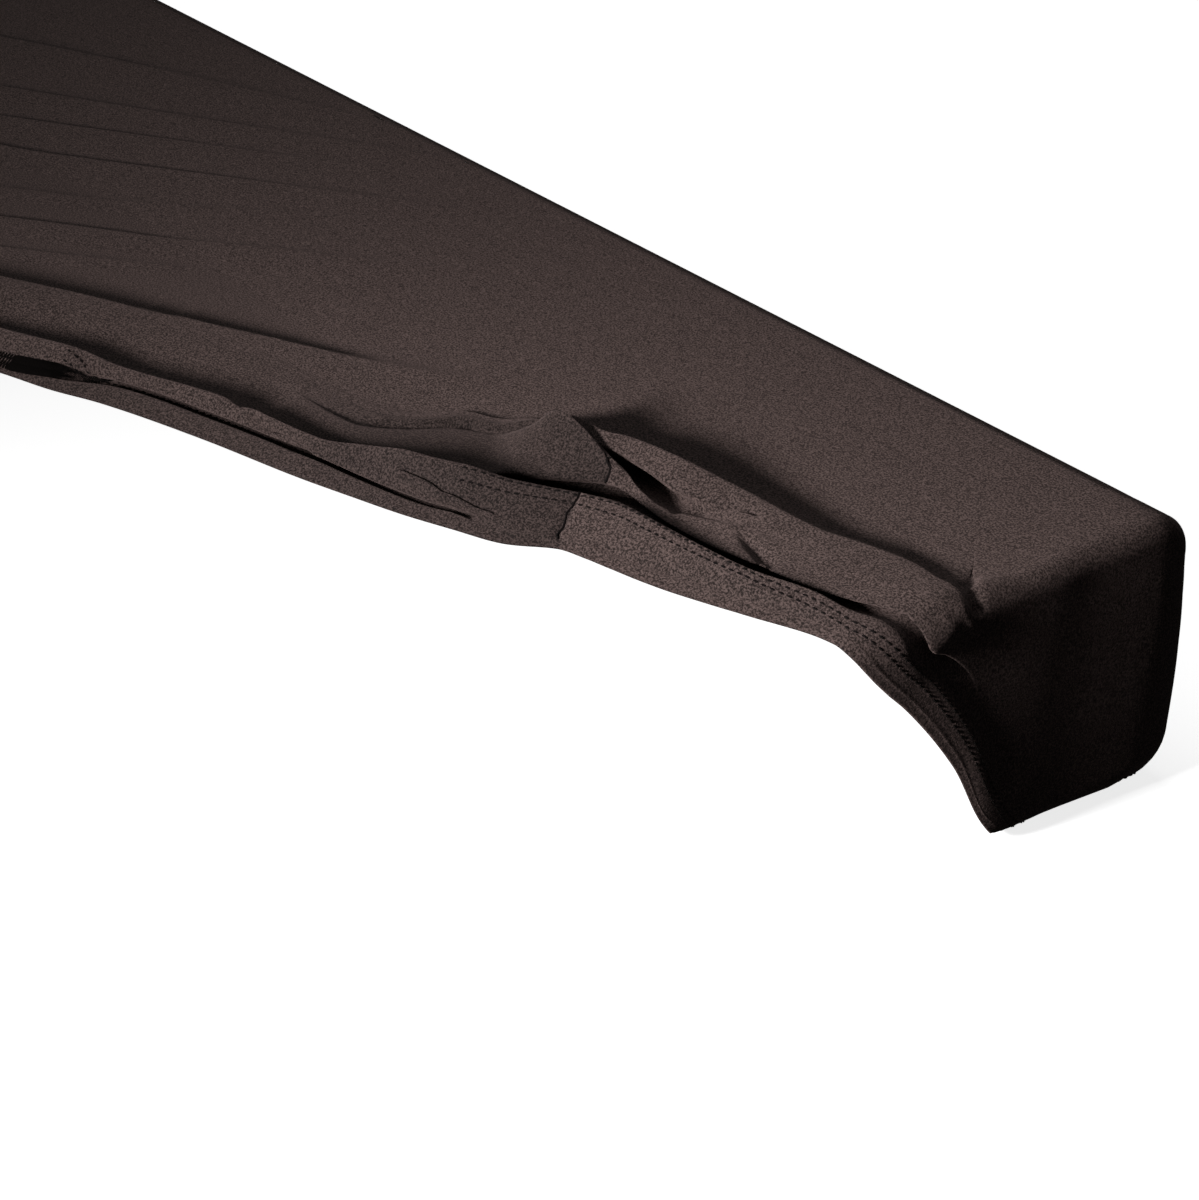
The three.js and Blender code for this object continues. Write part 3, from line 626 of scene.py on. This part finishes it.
panel_painted_shade.data.foreach_set("value", np.concatenate([panel_shade, np.zeros(len(vertices) - len(panel_shade))]))
cover = bpy.data.objects.new("cover_cloth", cover_mesh)
bpy.context.collection.objects.link(cover)

# Its knit is a warm charcoal with a fine lighter fleck, dull and slightly furry.
knit = bpy.data.materials.new("charcoal_knit")
knit.use_nodes = True
nodes = knit.node_tree.nodes
links = knit.node_tree.links
shader = nodes["Principled BSDF"]
shader.inputs["Roughness"].default_value = 0.92
shader.inputs["Diffuse Roughness"].default_value = 1
shader.inputs["Specular IOR Level"].default_value = 0.15
shader.inputs["Sheen Weight"].default_value = 0.035
shader.inputs["Sheen Roughness"].default_value = 0.5
shader.inputs["Sheen Tint"].default_value = (1, 0.72, 0.68, 1)
knit_place = nodes.new("ShaderNodeTexCoord")
fleck = nodes.new("ShaderNodeTexNoise")
fleck.inputs["Scale"].default_value = 1350
fleck.inputs["Detail"].default_value = 2
fleck.inputs["Roughness"].default_value = 0.7
tone = nodes.new("ShaderNodeValToRGB")
tone.color_ramp.elements[0].position = 0.41
tone.color_ramp.elements[0].color = (0.014, 0.0091, 0.0081, 1)
tone.color_ramp.elements[1].position = 0.63
tone.color_ramp.elements[1].color = (0.104, 0.0725, 0.0662, 1)
# Painted shade: the front panel's base colour is scaled down towards 0.6 by the attribute made above.
shade_share = nodes.new("ShaderNodeAttribute")
shade_share.attribute_name = "panel_painted_shade"
shade_tone = nodes.new("ShaderNodeMapRange")
shade_tone.inputs["To Min"].default_value = 1
shade_tone.inputs["To Max"].default_value = 0.6
shaded_tone = nodes.new("ShaderNodeVectorMath")
shaded_tone.operation = "SCALE"
relief = nodes.new("ShaderNodeBump")
relief.inputs["Strength"].default_value = 0.35
relief.inputs["Distance"].default_value = 0.0006
links.new(knit_place.outputs["Object"], fleck.inputs["Vector"])
links.new(fleck.outputs["Fac"], tone.inputs["Fac"])
links.new(shade_share.outputs["Fac"], shade_tone.inputs["Value"])
links.new(tone.outputs["Color"], shaded_tone.inputs["Vector"])
links.new(shade_tone.outputs["Result"], shaded_tone.inputs["Scale"])
links.new(shaded_tone.outputs["Vector"], shader.inputs["Base Color"])
links.new(fleck.outputs["Fac"], relief.inputs["Height"])
links.new(relief.outputs["Normal"], shader.inputs["Normal"])
cover_mesh.materials.append(knit)
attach(cover, "root")
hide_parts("cover")

# The hem's stitching: two rows of black thread round the hem, sewn through both layers of the knit in short
# stitches whose ends sink in. None are laid where the hem is tucked out of sight.
stitch_ways = (9.5, 13.0)  # from the hem, on the plain skirt
slot_ways = (18.5, 23.0)  # from the hem, where it is rolled out
stitch_stops = (12.4, 12.15)  # on the folded band
stitch_pitch = 3.4
stitch_length = 2.6
stitch_radius = 0.38
stitch_lift = np.array([-0.5, 0.12, 0.12, -0.5])
band_sections = [18, 16, 8, 7]
slot_sections = [8, 7, 1, 0]
tucked_sections = [(0, 2), (6.8, 8)]


def stitch_distance(stop, in_slot, plain):
    """Distance of a stitch row from the hem in each column: on the folded band it follows a stop, left of it
    the slot, and elsewhere it is plain."""
    row = np.interp(stop, np.arange(len(stop_row)), stop_row)
    upper = int(row)
    on_band = between(from_hem[:, upper], from_hem[:, upper + 1], row - upper)
    columns = np.arange(column_count)
    band_share = np.interp(columns, section_column[band_sections], [0, 1, 1, 0])
    off_band = np.interp(columns, section_column[slot_sections], [plain, in_slot, in_slot, plain])
    return between(off_band, on_band, band_share)


def laid_stitches(distance):
    """Stitches on a line round the hem: points and normals at even steps, four on each stitch."""
    line = at_distance(skirt_points, distance)
    away = at_distance(skirt_normals, distance)
    line = np.concatenate([line, line[:1]])
    away = np.concatenate([away, away[:1]])
    way = np.concatenate([[0], np.cumsum(np.linalg.norm(np.diff(line, axis=0), axis=1))])
    starts = np.arange(0, way[-1] - stitch_length, stitch_pitch)
    section = np.interp(starts, way[:-1], column_section)
    tucked = np.any([(section > first) & (section < last) for first, last in tucked_sections], 0)
    at = starts[~tucked, None] + stitch_length * np.linspace(0, 1, len(stitch_lift))
    points = np.stack([np.interp(at, way, line[:, k]) for k in range(3)], -1)
    normals = np.stack([np.interp(at, way, away[:, k]) for k in range(3)], -1)
    return points + stitch_lift[:, None] * normals, normals


def thread_mesh(name, points, normals, radius):
    """Threads of four sides along rows of points, with closed ends, in one mesh."""
    rows, stations = points.shape[:2]
    way = np.gradient(points, axis=1)
    side = np.cross(way, normals)
    side = radius * side / np.maximum(np.linalg.norm(side, axis=2, keepdims=True), 1e-9)
    up = np.cross(side, way)
    up = radius * up / np.maximum(np.linalg.norm(up, axis=2, keepdims=True), 1e-9)
    corners = np.stack([points + side, points + up, points - side, points - up], 2)
    index = np.arange(rows * stations * 4).reshape(rows, stations, 4)
    turned = np.roll(index, -1, 2)
    walls = np.stack([index[:, :-1], turned[:, :-1], turned[:, 1:], index[:, 1:]], -1).reshape(-1, 4)
    ends = np.concatenate([index[:, 0, ::-1], index[:, -1]])
    mesh = bpy.data.meshes.new(name)
    mesh.from_pydata((corners.reshape(-1, 3) * mm).tolist(), [], np.concatenate([walls, ends]).tolist())
    mesh.update()
    return mesh


stitch_rows = [laid_stitches(stitch_distance(*way)) for way in zip(stitch_stops, slot_ways, stitch_ways)]
stitch_points, stitch_normals = (np.concatenate(part) for part in zip(*stitch_rows))
stitch_mesh = thread_mesh("hem_stitches", stitch_points, stitch_normals, stitch_radius)
stitches = bpy.data.objects.new("hem_stitches", stitch_mesh)
bpy.context.collection.objects.link(stitches)
thread = bpy.data.materials.new("black_thread")
thread.use_nodes = True
thread_nodes = thread.node_tree.nodes
thread_links = thread.node_tree.links
thread_shader = thread_nodes["Principled BSDF"]
thread_shader.inputs["Roughness"].default_value = 0.9
thread_shader.inputs["Specular IOR Level"].default_value = 0.05
thread_place = thread_nodes.new("ShaderNodeTexCoord")
twist = thread_nodes.new("ShaderNodeTexNoise")
twist.inputs["Scale"].default_value = 1800
thread_tone = thread_nodes.new("ShaderNodeValToRGB")
thread_tone.color_ramp.elements[0].color = (0.0012, 0.001, 0.001, 1)
thread_tone.color_ramp.elements[1].color = (0.012, 0.0095, 0.009, 1)
thread_links.new(thread_place.outputs["Object"], twist.inputs["Vector"])
thread_links.new(twist.outputs["Fac"], thread_tone.inputs["Fac"])
thread_links.new(thread_tone.outputs["Color"], thread_shader.inputs["Base Color"])
stitch_mesh.materials.append(thread)
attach(stitches, "root")

# The corner's seam: it joins the skirt's front panel to its end panel with the same black thread, which
# draws the knit down into a groove and lies in it as a fine dark line, in two stretches. This black line is
# partly the seam's real thread and partly painted shade, a dark strip standing in for the groove's shadow.
seam_radius = 0.6
seam_stations = 97
seam_places = [fine_line(places)[0] for places in seam_lines]
seam_places = [p[np.linspace(0, len(p) - 1, seam_stations).astype(int)] for p in seam_places]
seam_points = np.stack([on_cloth(p, skirt_points) for p in seam_places])
seam_normals = np.stack([on_cloth(p, skirt_normals) for p in seam_places])
seam_mesh = thread_mesh("corner_seam", seam_points, seam_normals, seam_radius)
seam_thread = bpy.data.objects.new("corner_seam", seam_mesh)
bpy.context.collection.objects.link(seam_thread)
seam_mesh.materials.append(thread)
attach(seam_thread, "root")

# The overlock: black thread laid to and fro over the raw edge of the hem, which keeps the knit from fraying.
# It shows where the hem is rolled out at the front. Each row has its section, upper stop and lower stop.
overlock_rows = np.array(
    [
        [0.3, 13.3, 16.2],
        [1.1, 13.1, 16.3],
        [1.9, 13, 16.1],
        [2.3, 13.1, 15.8],
        [2.65, 13.6, 14.2],
    ]
)
overlock_turns = 110
overlock_radius = 0.4
overlock_lift = 0.7
overlock_section = np.linspace(overlock_rows[0, 0], overlock_rows[-1, 0], overlock_turns)
overlock_upper = np.interp(overlock_section, overlock_rows[:, 0], overlock_rows[:, 1])
overlock_lower = np.interp(overlock_section, overlock_rows[:, 0], overlock_rows[:, 2])
outward = np.arange(overlock_turns) % 2 == 0
overlock_stops = [
    np.where(outward, overlock_upper, overlock_lower),
    np.where(outward, overlock_lower, overlock_upper),
]
overlock_places = [np.stack([overlock_section, stops], 1) for stops in overlock_stops]
overlock_normals = np.stack([on_cloth(p, skirt_normals) for p in overlock_places])
overlock_points = np.stack([on_cloth(p, skirt_points) for p in overlock_places])
overlock_points = overlock_points + overlock_lift * overlock_normals
overlock_mesh = thread_mesh("overlock", overlock_points, overlock_normals, overlock_radius)
overlock = bpy.data.objects.new("overlock", overlock_mesh)
bpy.context.collection.objects.link(overlock)
overlock_mesh.materials.append(thread)
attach(overlock, "root")

# The floor: a plain pale sheet of paper, just under the lowest hem. It takes shadows, but throws no light
# back onto the cover.
floor_reach = 8
floor_height = -0.1055
floor_corners = [(-1, -1), (1, -1), (1, 1), (-1, 1)]
floor_points = [(floor_reach * x, floor_reach * y, floor_height) for x, y in floor_corners]
floor_mesh = bpy.data.meshes.new("floor")
floor_mesh.from_pydata(floor_points, [], [(0, 1, 2, 3)])
floor = bpy.data.objects.new("floor", floor_mesh)
bpy.context.collection.objects.link(floor)
paper = bpy.data.materials.new("pale_paper")
paper.use_nodes = True
paper_shader = paper.node_tree.nodes["Principled BSDF"]
paper_shader.inputs["Base Color"].default_value = (0.85, 0.85, 0.85, 1)
paper_shader.inputs["Roughness"].default_value = 0.9
paper_shader.inputs["Emission Color"].default_value = (1, 1, 1, 1)
paper_shader.inputs["Emission Strength"].default_value = 0.8
floor_mesh.materials.append(paper)
floor.visible_diffuse = False
floor.visible_glossy = False

# The light: one soft lamp, low in front of the right end, which rakes the folds and leaves the end dark,
# with a weak broad one overhead, a weaker one behind, and a dim room.
key_place = Vector((0.545, -0.6, 0.175))
key_aim = Vector((0.66, 0, 0))
key_data = bpy.data.lights.new("key", "AREA")
key_data.shape = "DISK"
key_data.size = 0.11
key_data.spread = 2.8
key_data.energy = 5.75
key = bpy.data.objects.new("key", key_data)
key.location = key_place
key.rotation_euler = (key_place - key_aim).to_track_quat("Z", "Y").to_euler()
bpy.context.collection.objects.link(key)
lamps = [("overhead", (-0.5, -0.25, 0.83), 0.78, 0.9), ("behind", (-0.55, 0.75, 0.4), 0.06, 0.6)]
for lamp_name, direction, energy, angle in lamps:
    lamp_data = bpy.data.lights.new(lamp_name, "SUN")
    lamp_data.energy = energy
    lamp_data.angle = angle
    lamp = bpy.data.objects.new(lamp_name, lamp_data)
    lamp.rotation_euler = Vector(direction).to_track_quat("Z", "Y").to_euler()
    bpy.context.collection.objects.link(lamp)
room = bpy.data.worlds.new("room")
room.use_nodes = True
room_light = room.node_tree.nodes["Background"]
room_light.inputs["Color"].default_value = (1, 1, 1, 1)
room_light.inputs["Strength"].default_value = 0.035
bpy.context.scene.world = room
bpy.context.scene.view_settings.view_transform = "Standard"
